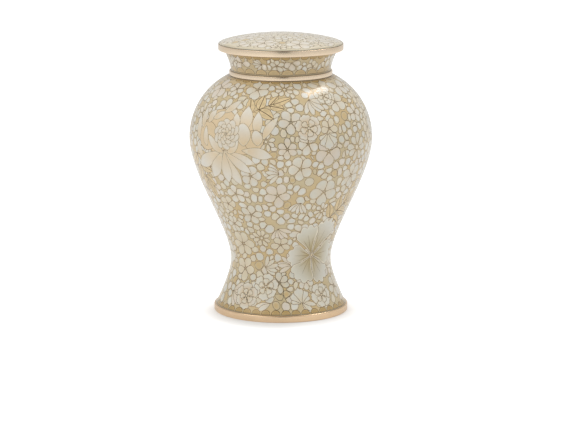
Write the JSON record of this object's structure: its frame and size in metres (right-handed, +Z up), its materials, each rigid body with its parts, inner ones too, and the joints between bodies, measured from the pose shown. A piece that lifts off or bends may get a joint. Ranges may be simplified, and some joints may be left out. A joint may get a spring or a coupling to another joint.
{
  "type": "cloisonne urn",
  "caption": "Hollow baluster urn of enamelled metal with a brass foot and collar, closed by a lift-off domed lid with a brass rim.",
  "frame": {"origin": "centre of the underside, on the surface the urn stands on", "axes": "+Z up along the urn's axis, -Y towards the side shown in the picture, +X to its right"},
  "size_m": [0.1762, 0.1762, 0.2695],
  "materials": {
    "enamel": "polished",
    "brass": "satin"
  },
  "bodies": {
    "root": {"body": "enamel", "foot": "brass", "collar_ring": "brass", "lid_rim": "brass", "lid_dome": "enamel"}
  },
  "joints": []
}
